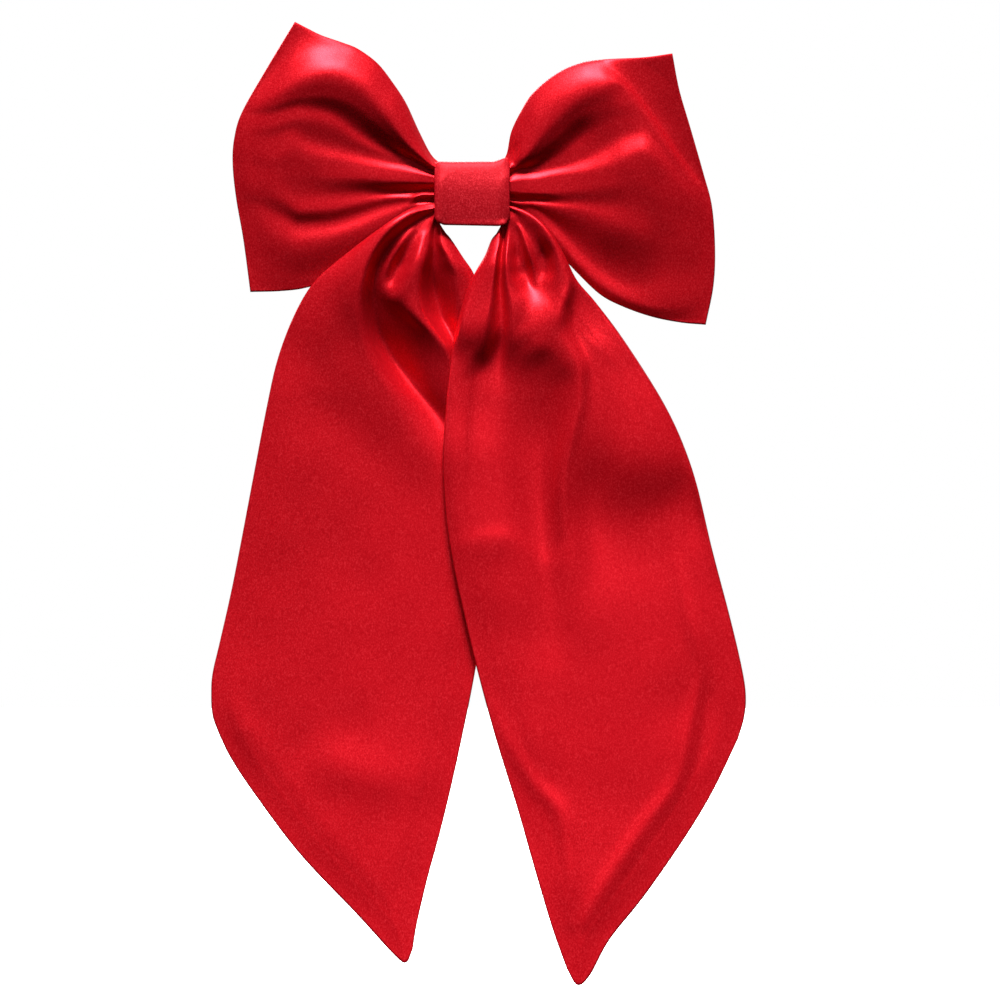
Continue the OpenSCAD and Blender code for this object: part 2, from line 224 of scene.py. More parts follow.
def add_noise(nodes, links, scale, **settings):
    """Noise in object coordinates, with its own count per metre on each axis."""
    coords = nodes.new("ShaderNodeTexCoord")
    mapping = add_node(nodes, "ShaderNodeMapping", Scale=scale)
    links.new(coords.outputs["Object"], mapping.inputs["Vector"])
    noise = add_node(nodes, "ShaderNodeTexNoise", Scale=1.0, **settings)
    links.new(mapping.outputs["Vector"], noise.inputs["Vector"])
    return noise.outputs["Fac"]


def add_ramp(nodes, links, source, shader, dark, light, middle=None):
    """Base colour from a source value, through stops of (position, colour)."""
    node = nodes.new("ShaderNodeValToRGB")
    stops = node.color_ramp.elements
    for stop, (position, colour) in zip(stops, (dark, light), strict=True):
        stop.position = position
        stop.color = (*colour, 1)
    if middle:
        stops.new(middle[0]).color = (*middle[1], 1)
    links.new(source, node.inputs["Fac"])
    links.new(node.outputs["Color"], shader.inputs["Base Color"])


def add_bump(nodes, links, source, shader, strength, distance):
    """Relief from a source value; the distance is in metres."""
    bump = add_node(nodes, "ShaderNodeBump", Strength=strength, Distance=distance)
    links.new(source, bump.inputs["Height"])
    links.new(bump.outputs["Normal"], shader.inputs["Normal"])


def satin_material(name, base, dark, light, rough, gloss, shine=0.25):
    """Close-woven satin: fine glints of the floats, and a faint slub along the weft."""
    material, nodes, links, shader = new_material(name)
    glint = add_noise(nodes, links, (2100, 2100, 1500), Detail=2.0, Roughness=0.7)
    slub = add_noise(nodes, links, (60, 60, 420), Detail=3.0)
    add_ramp(nodes, links, glint, shader, (0.33, dark), (0.72, light), (0.5, base))
    map_range(nodes, links, glint, shader.inputs["Roughness"], To_Min=rough - 0.10, To_Max=rough + 0.10)
    relief = nodes.new("ShaderNodeMath")
    relief.operation = "MULTIPLY_ADD"
    relief.inputs[1].default_value = 0.5
    links.new(slub, relief.inputs[0])
    links.new(glint, relief.inputs[2])
    add_bump(nodes, links, relief.outputs[0], shader, 0.22, 0.00012)
    set_inputs(shader, Metallic=gloss, Specular_IOR_Level=shine, Specular_Tint=(1.0, 0.5, 0.55, 1))
    return material


def felt_material(name, dark, light):
    """Pressed wool: tangled fibres with a soft fuzz."""
    material, nodes, links, shader = new_material(name)
    fibres = add_noise(nodes, links, (900, 900, 1600), Detail=8.0, Distortion=2.5)
    add_ramp(nodes, links, fibres, shader, (0.3, dark), (0.7, light))
    add_bump(nodes, links, fibres, shader, 0.7, 0.0003)
    set_inputs(shader, Roughness=0.95, Sheen_Weight=0.4)
    return material


def metal_material(name, colour, rough):
    """Steel brushed along x."""
    material, nodes, links, shader = new_material(name)
    brushed = add_noise(nodes, links, (150, 4000, 6000), Detail=4.0)
    map_range(nodes, links, brushed, shader.inputs["Roughness"], To_Min=rough - 0.08, To_Max=rough + 0.12)
    set_inputs(shader, Base_Color=(*colour, 1), Metallic=1.0)
    add_bump(nodes, links, brushed, shader, 0.15, 0.00005)
    return material


# each satin: base, dark and light colour, roughness, gloss and shine
SATIN = satin_material("satin_red", (0.50, 0.003, 0.009), (0.42, 0.0015, 0.006),
                       (0.60, 0.014, 0.023), 0.40, 0.5)
KNOT = satin_material("knot_red", (0.37, 0.0025, 0.008), (0.29, 0.001, 0.005),
                      (0.52, 0.02, 0.03), 0.52, 0.3, 0.2)
STEEL = metal_material("nickel_steel", (0.70, 0.71, 0.73), 0.22)
SPRING_STEEL = metal_material("spring_steel", (0.50, 0.52, 0.55), 0.34)
THREAD = satin_material("red_thread", (0.40, 0.006, 0.016), (0.28, 0.003, 0.01),
                        (0.5, 0.012, 0.025), 0.6, 0.2)
FELT = felt_material("red_felt", (0.20, 0.004, 0.010), (0.42, 0.016, 0.03))


# ---------- curves and folds

FAR_OFF = 1e9            # a squared distance larger than any on the bow
CURVE_STEPS = 24         # points that stand for each span of a curve
PATH_POINTS = 40         # points that stand for a fold's line
WAVES = 7                # waves that are summed into ripples
CALM_PASSES = 90         # passes that turn sharp pleats into broad waves
PLEAT_CREST = 2.0        # usual height of the pleats at the top of a tail


def smooth(edge0, edge1, value):
    """Even step from 0 at edge0 to 1 at edge1."""
    t = np.clip((value - edge0) / (edge1 - edge0), 0, 1)
    return t * t * (3 - 2 * t)


def spline(points, shares):
    """Points at the given shares (0 to 1) of the length of a smooth curve through a few points."""
    p = np.array(points, float)
    p = np.vstack([2 * p[0] - p[1], p, 2 * p[-1] - p[-2]])
    dense = []
    steps = np.linspace(0, 1, CURVE_STEPS, endpoint=False)[:, None]
    for a, b, c, d in zip(p[:-3], p[1:-2], p[2:-1], p[3:], strict=True):
        dense.append(0.5 * (2 * b + (c - a) * steps + (2 * a - 5 * b + 4 * c - d) * steps**2
                            + (3 * b - a - 3 * c + d) * steps**3))
    dense = np.vstack([*dense, p[-2][None]])
    length = np.concatenate([[0], np.cumsum(np.linalg.norm(np.diff(dense, axis=0), axis=1))])
    s = np.asarray(shares) * length[-1]
    return np.column_stack([np.interp(s, length, dense[:, k]) for k in range(dense.shape[1])])


def gentle(knots, values, at):
    """Smooth curve through values at the given knots that never swings past them."""
    knots, values = np.asarray(knots, float), np.asarray(values, float)
    at = np.clip(at, knots[0], knots[-1])
    gap = np.diff(knots)
    slope = np.diff(values) / gap
    turn = np.zeros(len(values))
    turn[0], turn[-1] = slope[0], slope[-1]
    before, after = slope[:-1], slope[1:]
    same = before * after > 0
    wide, late = 2 * gap[1:] + gap[:-1], gap[1:] + 2 * gap[:-1]
    safe_before, safe_after = np.where(same, before, 1), np.where(same, after, 1)
    turn[1:-1] = np.where(same, (wide + late) / (wide / safe_before + late / safe_after), 0)
    k = np.clip(np.searchsorted(knots, at) - 1, 0, len(gap) - 1)
    t = (at - knots[k]) / gap[k]
    return (values[k] * (1 + 2 * t) * (1 - t) ** 2 + values[k + 1] * t * t * (3 - 2 * t)
            + gap[k] * t * (1 - t) * ((1 - t) * turn[k] - t * turn[k + 1]))


def along(values, t):
    """A size that is one number, or changes evenly through a few numbers from 0 to 1."""
    values = np.atleast_1d(np.array(values, float))
    if len(values) == 1:
        return np.full_like(t, values[0])
    return np.interp(t, np.linspace(0, 1, len(values)), values)


def fold(x, z, points, rise, left, right=None):
    """Height of a ridge, or a valley if rise is below 0, along a curve, with its width on each side."""
    right = left if right is None else right
    path = spline(points, np.linspace(0, 1, PATH_POINTS))
    best = np.full(x.shape, FAR_OFF)
    at = np.zeros(x.shape)
    side = np.zeros(x.shape)
    total = len(path) - 1
    for k in range(total):
        ax, az = path[k]
        dx, dz = path[k + 1] - path[k]
        span = dx * dx + dz * dz
        t = np.clip(((x - ax) * dx + (z - az) * dz) / span, 0, 1)
        px, pz = x - ax - t * dx, z - az - t * dz
        d = px * px + pz * pz
        near = d < best
        best = np.where(near, d, best)
        at = np.where(near, (k + t) / total, at)
        side = np.where(near, (dx * pz - dz * px) / np.sqrt(span * (d + 1e-9)), side)
    width = along(left, at) * (1 + side) / 2 + along(right, at) * (1 - side) / 2
    return along(rise, at) * np.exp(-best / width**2)


def folds(x, z, table):
    """Sum of folds, each row being the line, the rise and the widths of one."""
    return sum(fold(x, z, *row) for row in table)


def rise_from(distance, reach, power):
    """Rise from 0 at an edge towards 1 within a few times the reach."""
    return 1 - np.exp(-((distance / reach) ** power))


def soften(height, passes):
    """Averages a height grid with its neighbours, leaving its border alone."""
    for _ in range(passes):
        inner = (height[:-2, 1:-1] + height[2:, 1:-1] + height[1:-1, :-2] + height[1:-1, 2:]) / 8
        height[1:-1, 1:-1] = height[1:-1, 1:-1] / 2 + inner
    return height


def calm_below(height, z, top, bottom):
    """Pleats that melt into broad waves between two levels."""
    calm = smooth(top, bottom, z)
    return (1 - calm) * height + calm * soften(height.copy(), CALM_PASSES)


def deepen(height, z):
    """Deeper pockets at the top of a tail: what lies below the crests sinks by half as much again."""
    share = smooth(-13, -24, z) * smooth(-72, -50, z)
    return height + 0.5 * share * np.minimum(height - PLEAT_CREST, 0)


def ripples(x, z, seed, scale, amount):
    """Small uneven waves, the same on every run."""
    rng = np.random.default_rng(seed)
    out = np.zeros(x.shape)
    for _ in range(WAVES):
        angle = rng.uniform(0, math.pi)
        wave = scale * rng.uniform(0.7, 1.6)
        phase = rng.uniform(0, 2 * math.pi)
        out += np.sin((x * math.cos(angle) + z * math.sin(angle)) / wave * 2 * math.pi + phase)
    return out * amount / WAVES


# ---------- satin panels

CLOTH = 0.35             # thickness of one layer of satin
THINNEST = 0.02          # least distance of a panel's inner face from its middle
SEAM_ROUND = 0.55        # radius of a turned, pressed edge


def crowded(count, start, end):
    """Shares from 0 to 1 that crowd towards the start and the end, each by 0 (not at all) to 1."""
    s = np.linspace(0, 1, count)
    density = 1 / (0.12 + s) * start + 1 / (1.12 - s) * end + 1
    total = np.concatenate([[0], np.cumsum((1 / density[1:] + 1 / density[:-1]) / 2)])
    return total / total[-1]


RIB_GAP = 0.006          # least distance between two ribs, as a share of the grid's width


class Patch:
    """Grid of points inside four edges. u runs from near to far, v from the low edge to the high one."""

    def __init__(self, near, low, high, far, rows, cols):
        u, v = rows[:, None], cols[None, :]
        lo, hi = spline(low, rows), spline(high, rows)
        ne, fa = spline(near, cols), spline(far, cols)
        point = ((1 - v)[..., None] * lo[:, None] + v[..., None] * hi[:, None]
                 + (1 - u)[..., None] * ne[None] + u[..., None] * fa[None]
                 - ((1 - u) * (1 - v))[..., None] * lo[0] - ((1 - u) * v)[..., None] * hi[0]
                 - (u * (1 - v))[..., None] * lo[-1] - (u * v)[..., None] * hi[-1])
        self.x, self.z = point[..., 0], point[..., 1]
        self.u = np.broadcast_to(u, self.x.shape)
        self.v = np.broadcast_to(v, self.x.shape)
        self.to_low = self.distance(spline(low, np.linspace(0, 1, 80)))
        self.to_high = self.distance(spline(high, np.linspace(0, 1, 80)))
        self.to_far = self.distance(spline(far, np.linspace(0, 1, 60)))

    def distance(self, path):
        """Distance of each point from a path."""
        best = np.full(self.x.shape, FAR_OFF)
        for a, b in zip(path[:-1], path[1:], strict=True):
            d = b - a
            t = np.clip(((self.x - a[0]) * d[0] + (self.z - a[1]) * d[1]) / (d @ d), 0, 1)
            best = np.minimum(best, (self.x - a[0] - t * d[0]) ** 2 + (self.z - a[1] - t * d[1]) ** 2)
        return np.sqrt(best)

    def locate(self, x, z):
        """Shares (u, v) of the grid at a point."""
        d = ((self.x - x) ** 2 + (self.z - z) ** 2).ravel()
        near = np.argpartition(d, 4)[:4]
        weight = 1 / (d[near] + 1e-6)
        total = weight.sum()
        return self.u.ravel()[near] @ weight / total, self.v.ravel()[near] @ weight / total

    def loft(self, ribs, side=1):
        """Height field through ribs of (x, z, height).

        Each rib runs from the knot outwards, and the ribs are listed from the low edge up. The low and
        high edges stay at 0. A side of -1 takes x as measured to the left.
        """
        u_rows, v_cols = self.u[:, 0], self.v[0]
        flat = np.zeros(len(u_rows))
        places, heights = [flat], [flat]
        for rib in ribs:
            shares = np.array([self.locate(side * x, z) for x, z, _ in rib])
            u = np.maximum.accumulate(shares[:, 0] + 1e-4 * np.arange(len(rib)))
            places.append(np.maximum(gentle(u, shares[:, 1], u_rows), places[-1] + RIB_GAP))
            heights.append(gentle(u, [point[2] for point in rib], u_rows))
        places.append(np.maximum(1.0, places[-1] + RIB_GAP))
        heights.append(flat)
        places, heights = np.array(places), np.array(heights)
        places = places / places[-1]
        return np.array([gentle(places[:, k], heights[:, k], v_cols) for k in range(len(u_rows))])

    def seam_distance(self):
        """Distance of each point from the nearest sewn edge."""
        return np.minimum(np.minimum(self.to_low, self.to_high), self.to_far)


def finish_mesh(name, verts, faces, material):
    """Object from points in metres and faces, shaded smooth, with its normals outwards."""
    mesh = bpy.data.meshes.new(name)
    mesh.from_pydata(np.asarray(verts).tolist(), [], faces)
    mesh.update()
    edit = bmesh.new()
    edit.from_mesh(mesh)
    bmesh.ops.recalc_face_normals(edit, faces=edit.faces)
    edit.to_mesh(mesh)
    edit.free()
    mesh.polygons.foreach_set("use_smooth", [True] * len(mesh.polygons))
    mesh.materials.append(material)
    piece = bpy.data.objects.new(name, mesh)
    scene.collection.objects.link(piece)
    return piece


def skin(rings, closed=False):
    """Points and faces over rings of points (count, around, 3) in mm: closed end to end, or capped."""
    count, around = rings.shape[:2]
    index = np.arange(count * around).reshape(count, around)
    after = np.roll(index, -1, axis=0) if closed else index[1:]
    here = index if closed else index[:-1]
    sides = np.stack([here, np.roll(here, -1, axis=1), np.roll(after, -1, axis=1), after], axis=-1)
    faces = sides.reshape(-1, 4).tolist()
    verts = rings.reshape(-1, 3)
    if not closed:
        verts = np.vstack([verts, rings[0].mean(axis=0), rings[-1].mean(axis=0)])
        for ring, tip in ((index[0], count * around), (index[-1], count * around + 1)):
            faces += [[int(a), int(b), tip] for a, b in zip(ring, np.roll(ring, -1), strict=True)]
    return verts, faces


def bow_piece(name, node, shape, material):
    """Piece from points in mm and faces, that rides with the bow and replaces one CAD node."""
    verts, faces = shape
    piece = finish_mesh(name, verts * MM, faces, material)
    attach(piece, "bow")
    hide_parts(node)
    return piece


def panel(name, patch, outer_y, inner_y, plane):
    """Closed mesh of one cloth panel: its outer and inner faces, joined along the edges."""
    rows, cols = patch.x.shape
    # outlines are drawn as seen at the right tail's depth, and grow a little for pieces further back
    grow = 1 + (plane - RIGHT_TAIL_PLANE) / CAMERA_DISTANCE
    x = VIEW_CENTRE[0] + (patch.x - VIEW_CENTRE[0]) * grow
    z = VIEW_CENTRE[1] + (patch.z - VIEW_CENTRE[1]) * grow
    outer = np.stack([x, outer_y, z], axis=-1).reshape(-1, 3) * MM
    inner = np.stack([x, inner_y, z], axis=-1)[1:-1, 1:-1].reshape(-1, 3) * MM
    index = np.arange(rows * cols).reshape(rows, cols)
    back = index.copy()
    back[1:-1, 1:-1] = rows * cols + np.arange((rows - 2) * (cols - 2)).reshape(rows - 2, cols - 2)

    def quads(i):
        return np.stack([i[:-1, :-1], i[:-1, 1:], i[1:, 1:], i[1:, :-1]], axis=-1).reshape(-1, 4)

    faces = np.vstack([quads(index), quads(back)[:, ::-1]])
    return finish_mesh(name, np.vstack([outer, inner]), faces.tolist(), SATIN)


def seam_lift(distance, radius):
    """Quarter-round rise from a seam."""
    q = np.clip(distance / radius, 0, 1)
    return radius * np.sqrt(np.clip(1 - (1 - q) ** 2, 0, 1))


# ---------- loops

KNOT_SIDE = 9.0          # how far from the bow's middle the loops end, inside the band
LOOP_ROUND = 2.0         # radius of the soft turn along a loop's upper edge
LOOP_GRID = (150, 190)   # points from the knot to the far edge, and from the low edge to the high one
LEAST_FRONT = 0.05       # least height of a loop's front and back off its plane
LEAST_REAR = 0.25

LEFT_LOOP = dict(
    near=[(-KNOT_SIDE, -3), (-KNOT_SIDE, 3), (-KNOT_SIDE, 9)],
    low=[(-KNOT_SIDE, -3), (-16, -7), (-30, -19), (-46, -29.5), (-58, -33.5), (-67, -34.7), (-77.6, -35)],
    high=[(-KNOT_SIDE, 9), (-13.8, 12.5), (-18.3, 20.8), (-23, 31), (-27.5, 38), (-33, 45), (-39.7, 50),
          (-45, 52.2), (-52.5, 54.8), (-57, 57), (-62, 59.6)],
    far=[(-77.6, -35), (-80, -17), (-82.6, -2), (-83.8, 10), (-83.2, 19), (-80.5, 28), (-72, 43),
         (-62, 59.6)],
)
RIGHT_LOOP = dict(
    near=[(KNOT_SIDE, -3), (KNOT_SIDE, 3), (KNOT_SIDE, 9)],
    low=[(KNOT_SIDE, -3), (16, -7), (27, -18), (37, -28.5), (45, -36), (53, -40.2), (63, -43.7),
         (73, -45.7), (81.8, -46.5)],
    high=[(KNOT_SIDE, 9), (12, 13), (13.7, 21), (17, 28), (21.4, 34.8), (29, 41.2), (37, 45),
          (45.5, 46.4), (60, 47), (70, 48.2)],
    far=[(81.8, -46.5), (84.5, -33), (85.1, -20), (84, -5), (81, 6.5), (76.5, 22), (72.5, 35.5),
         (70, 48.2)],
)


def loop_base(patch, centre, reach, full, gathered):
    """Height of a puffed loop before its pleats: a flat margin, a broad dome and the pinch at the knot."""
    near_knot = np.exp(-(np.clip(np.abs(patch.x) - KNOT_SIDE, 0, None) / 14) ** 1.5)
    across = 1 - np.abs(2 * patch.v - 1) ** 2.4
    margin = rise_from(np.minimum(patch.to_low, patch.to_far), 2.5, 1.2)
    margin *= rise_from(patch.to_high, 7, 1.2)
    off_x = (np.abs(patch.x) - centre[0]) / reach[0]
    off_z = (patch.z - centre[1]) / reach[1]
    dome = full * np.exp(-(off_x**2 + off_z**2))
    dome *= (rise_from(patch.to_low, 12, 1.4) * rise_from(patch.to_far, 13, 1.4)
             * rise_from(patch.to_high, 9, 1.2))
    return near_knot * gathered * across + (1 - near_knot) * (margin + dome)


def left_loop_front(p):
    x, z = -p.x, p.z
    h = p.loft([
        # foot of the slope beside the tail, and the lower pleat above it
        [(14, -4.6, 0.8), (22, -9, 0.6), (30, -17, 0.5), (40, -23.5, 0.4), (50, -28, 0.4),
         (60, -29.5, 0.6), (68, -28, 0.8), (76, -24, 0.8)],
        [(14, -4, 1.7), (22, -5.4, 1.6), (30, -8.8, 1.8), (40, -13.4, 2.2), (50, -16.6, 2.5),
         (60, -18, 2.6), (68, -15.6, 2.2), (76, -10, 1.6)],
        [(14, -3.2, 1.6), (22, -3.4, 1.3), (30, -4.8, 1.1), (40, -8.2, 1.2), (50, -10.8, 1.4),
         (60, -11.6, 1.6), (67, -8.5, 1.8), (75, -5, 1.7)],
        # faint fold, then the valley at the height of the knot
        [(14, -1.4, 2.2), (22, -2, 1.6), (30, -2.4, 1.6), (40, -4.2, 2.1), (50, -6, 2.6),
         (60, -6.6, 2.9), (66, -3, 2.8), (74, -1, 2.2)],
        [(14, 0.2, 1), (22, -0.2, 0.7), (30, -0.6, 1), (40, -0.8, 1.7), (50, -1.6, 2.3), (60, -1.8, 2.7),
         (68, 1.5, 2.9), (75, 3, 2.4)],
        # the longest pleat: its belly and its lit upper side
        [(14, 3.2, 3.4), (22, 3.6, 2.9), (30, 4, 2.9), (40, 4.8, 3), (50, 5.4, 3.3), (60, 6.4, 3.5),
         (68, 7, 3.2), (76, 8, 2.4)],
        [(14, 5, 3.4), (22, 6.6, 2.7), (30, 7.8, 2.6), (40, 9.2, 2.8), (50, 11, 3.4), (57, 12.6, 4),
         (62, 15, 4.2), (69, 12.5, 3.5), (77, 13, 2.5)],
        [(14, 6.8, 2.4), (22, 9.4, 1.5), (30, 11, 1.6), (40, 13.4, 2), (50, 15.8, 2.7), (57, 18, 3.4),
         (62, 21, 3.9), (70, 18.5, 3.3), (77, 18, 2.5)],
        # faint fold in the great hollow
        [(14, 7.2, 2.5), (22, 10.6, 1.4), (30, 13, 1.7), (40, 17.8, 2.6), (50, 24, 3.8), (60, 25.4, 4.4),
         (70, 23, 3.7), (77, 23, 2.6)],
        [(14, 7.6, 2.6), (22, 11.4, 1.4), (30, 14.8, 1.6), (40, 20.6, 2.4), (50, 27.2, 3.7),
         (60, 28.8, 4.3), (70, 27, 3.7), (76, 27, 2.6)],
        # the roll under the upper edge
        [(14, 8.2, 3.8), (22, 13.4, 3.9), (30, 21.2, 4.7), (40, 30.2, 5.6), (50, 33.4, 5.8),
         (60, 33, 5.5), (70, 30, 4.5), (75.5, 28.6, 3.1)],
        [(14, 8.9, 4.6), (22, 16.4, 5.4), (30, 26.8, 6.2), (40, 36.4, 6.7), (50, 39.6, 6.8),
         (60, 38, 6.3), (70, 33.4, 4.8), (75, 30.4, 3.3)],
        [(14, 12.2, 0.8), (22, 28.6, 0.7), (30, 40.5, 0.7), (40, 49, 0.7), (50, 51.8, 0.9),
         (60, 50.5, 1.3), (68, 43.6, 1.4), (74, 37.4, 1.2)],
    ], -1)
    h *= rise_from(p.to_far, 5, 1.3)
    h += folds(x, z, [
        # small tuck beside the knot
        ([(14, -2.9), (18.5, -3)], -1.0, 1.0),
        ([(13.5, -1), (17, -0.7), (19.6, -1.8), (20.6, -3)], 0.8, 0.9),
    ])
    return soften(h, 5) + ripples(x, z, 3, 22, 0.2)


def right_loop_front(p):
    x, z = p.x, p.z
    h = p.loft([
        # flat border along the lower edge, and the hollow above it
        [(14, -5, 0.8), (22, -9.5, 0.8), (30, -16.6, 1.2), (38, -26, 1.1), (46, -33, 1), (54, -37.5, 1),
         (62, -39.5, 1.1), (72, -40, 1), (79, -38, 0.8)],
        [(14, -4.4, 1.6), (22, -6, 1), (30, -12.5, 0.4), (38, -20.8, 0.1), (46, -27.4, 0.1),
         (54, -31.6, 0.3), (62, -33, 0.9), (72, -30, 1.4), (79, -28, 1.2)],
        # faint fold between two hollows
        [(14, -3.8, 2), (22, -4.4, 1.7), (30, -5.4, 2.2), (40, -7, 3), (50, -10, 4), (58, -13.5, 4),
         (66, -16, 3), (73, -19, 2.2), (80, -22, 1.4)],
        [(14, -2.8, 1.4), (22, -2.9, 1.1), (30, -3.8, 1.8), (40, -4.2, 2.8), (50, -5.6, 3.9),
         (58, -8, 4.2), (66, -9.5, 3.9), (74, -12, 2.8), (81, -15, 1.6)],
        # belly of the longest pleat, its top and its lit upper side
        [(14, 0, 3.4), (22, -0.6, 2.8), (30, -0.2, 2.8), (40, 0.8, 3.6), (50, 2.8, 5), (60, 4, 5.7),
         (68, 1, 4.6), (75, -4, 3.2), (82, -8, 1.7)],
        [(14, 3.2, 3.4), (22, 4.2, 2.6), (30, 5.6, 2.6), (40, 6.6, 3.6), (48, 8.2, 5), (54, 11, 6),
         (60, 13, 6.2), (68, 8, 4.7), (76, 0, 3.1), (82, -4, 1.7)],
        [(14, 6, 2.2), (22, 7, 1.3), (30, 9, 1.3), (38, 11.6, 1.7), (46, 16, 2.6), (54, 20.6, 3.4),
         (60, 22, 3.9), (68, 13.4, 3.9), (76, 3, 2.9), (82, -1.4, 1.6)],
        [(14, 6.8, 2.3), (22, 8.6, 1.2), (30, 12, 1.4), (38, 18.4, 1.9), (46, 22.6, 3.1), (54, 25, 3.6),
         (60, 24.2, 3.8), (68, 15.4, 3.8), (76, 4.6, 2.8), (82, -0.8, 1.6)],
        # the roll under the upper edge, and its foot where the flat corner begins
        [(14, 7.8, 3.4), (18, 9.6, 3.7), (22, 12.6, 3.8), (30, 20.2, 4.3), (38, 27.2, 4.7),
         (46, 30, 4.6), (54, 31, 3.9), (61, 26.4, 3.6), (69, 15.4, 3.2), (76, 5.6, 2.5),
         (82, -0.2, 1.5)],
        [(14, 9, 4.2), (18, 12, 4.7), (22, 17, 5), (30, 26.4, 5.6), (38, 33, 5.9), (46, 35.8, 5.4),
         (51, 37.2, 4), (55, 35, 3.3), (62, 26.6, 2.9), (70, 14.9, 2.6), (76, 6.6, 2.1), (82, 0.4, 1.3)],
        [(13, 12.6, 0.6), (15, 22.4, 0.6), (21, 33.6, 0.6), (30, 41.4, 0.6), (38, 44.8, 0.7),
         (44, 45.2, 0.9), (49, 43, 1.4), (53, 39.6, 1.6), (57, 35.2, 1.6), (62, 29.2, 1.5),
         (67, 22.2, 1.3), (72, 14.4, 1.2), (77, 7.2, 1), (81, 2.2, 0.8), (83.5, 0, 0.6)],
    ])
    h *= rise_from(p.to_far, 4, 1.3)
    h += folds(x, z, [
        ([(14.6, 10), (15, 14), (16, 18)], (-1.6, -1.4, -0.2), 1.6),
    ])
    return soften(h, 5) + ripples(x, z, 5, 22, 0.2)


# pleats that fan out over the back of a loop, as (distance from the bow's middle, height)
BACK_PLEATS = [
    [(9, 8), (30, 25), (60, 40)],
    [(9, 5.5), (35, 14), (66, 20)],
    [(9, 3), (38, 3), (70, 1)],
    [(9, 0), (35, -9), (68, -16)],
]


def loop_back(p, seed):
    """The unseen back of a loop: a low dome with four pleats, each over a valley."""
    x, z = p.x, p.z
    side = np.sign(x.mean())
    h = loop_base(p, (46, 6), (34, 30), 3.0, 4.4)
    for line in BACK_PLEATS:
        points = [(side * a, b) for a, b in line]
        h += fold(x, z, points, (2.0, 1.6, 0.2), (1.3, 4, 7))
        lower = [(side * a, b - 1.5 - 0.11 * (a - 9)) for a, b in line]
        h += fold(x, z, lower, (-2.2, -1.2, -0.1), (1.1, 3, 5))
    return h + ripples(x, z, seed, 20, 0.3)


def corner_tilt(p):
    """The right loop's flat upper corner leans forwards from the crease at its foot."""
    points = [(41, 50), (46, 45.6), (51, 41), (56, 36), (61, 30.4), (66, 23.6), (71, 15.8), (76, 9),
              (80, 3), (86, -5)]
    crease = spline(points, np.linspace(0, 1, PATH_POINTS))
    beyond = np.clip(p.z - np.interp(p.x, crease[:, 0], crease[:, 1]), 0, None)
    return 0.12 * beyond * smooth(42, 52, p.x)


def make_loop(side, edges, front_height, seed):
    rows = crowded(LOOP_GRID[0], 0.0, 0.35)
    cols = crowded(LOOP_GRID[1], 0.35, 0.35)
    p = Patch(**edges, rows=rows, cols=cols)
    outline = np.minimum(p.to_low, p.to_far)
    inside = smooth(0, 4, np.minimum(outline, p.to_high))
    lift = seam_lift(outline, CLOTH) * seam_lift(p.to_high, LOOP_ROUND) / LOOP_ROUND
    middle = LOOP_PLANE - (corner_tilt(p) if side == "Right" else 0)
    front = np.maximum(front_height(p), LEAST_FRONT) + lift
    rear = np.maximum(loop_back(p, seed), LEAST_REAR) * inside + lift
    for word, height, sign in (("Front", front, -1), ("Back", rear, 1)):
        outer = middle + sign * height
        inner = middle + sign * np.maximum(height - CLOTH, THINNEST)
        piece = panel(f"Loop{side}{word}", p, outer, inner, LOOP_PLANE)
        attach(piece, "bow")
        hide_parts(f"loop_{side}_{word}".lower())


# ---------- tails

TAIL_GRID = (300, 150)
HEM = (7.4, 9.0)         # the turned hem inside a tail ends between these distances from its edge
HEM_LIFT = 0.07          # how much the hem raises the satin over it
TAIL_PUFF = 0.9          # how far each layer stands off the middle, away from the seams

LEFT_TAIL = dict(
    near=[(-9, -9.6), (-9, -7), (-9, -4)],
    low=[(-9, -9.6), (-11.8, -11.9), (-8, -15.5), (-3, -23), (0.7, -28.7), (4, -38), (7, -60), (8, -95),
         (6, -135), (1.4, -166), (-5, -198), (-10.5, -221.5), (-15.5, -240), (-19, -255), (-20.5, -264)],
    high=[(-9, -4), (-14.5, -3.8), (-22, -6), (-32, -12.5), (-44, -21.5), (-53, -29), (-58.5, -36),
          (-64, -47), (-68.5, -60), (-72, -76), (-76, -97), (-80.5, -121), (-84, -139), (-88, -157),
          (-90.5, -168), (-91, -175), (-90.5, -183), (-88, -190)],
    far=[(-20.5, -264), (-22.8, -268.6), (-27, -266), (-40, -252), (-60, -231), (-76, -210), (-84, -198),
         (-88, -190)],
)
RIGHT_TAIL = dict(
    near=[(9, -9.6), (9, -7), (9, -4)],
    low=[(9, -9.6), (10.4, -12), (7, -16), (4.5, -22), (0.7, -28.7), (-3.2, -38), (-6.5, -52),
         (-8.5, -68), (-9.8, -85), (-10.2, -97), (-9, -115), (-6.3, -132), (-3, -147), (1, -164),
         (8, -190), (16, -216), (22, -237), (28, -257), (33, -271)],
    high=[(9, -4), (14.5, -4.6), (21, -7.5), (27, -13), (32, -21), (36.7, -30.5), (43, -38), (51, -48.5),
          (60, -62), (68, -75.5), (74, -88.5), (78.8, -103), (84, -125), (90, -148), (94, -165),
          (95.6, -175), (95.2, -183), (93, -191)],
    far=[(33, -271), (36.6, -276.6), (41, -273.5), (48, -261), (60, -246), (74, -226), (84, -209.5),
         (93, -191)],
)


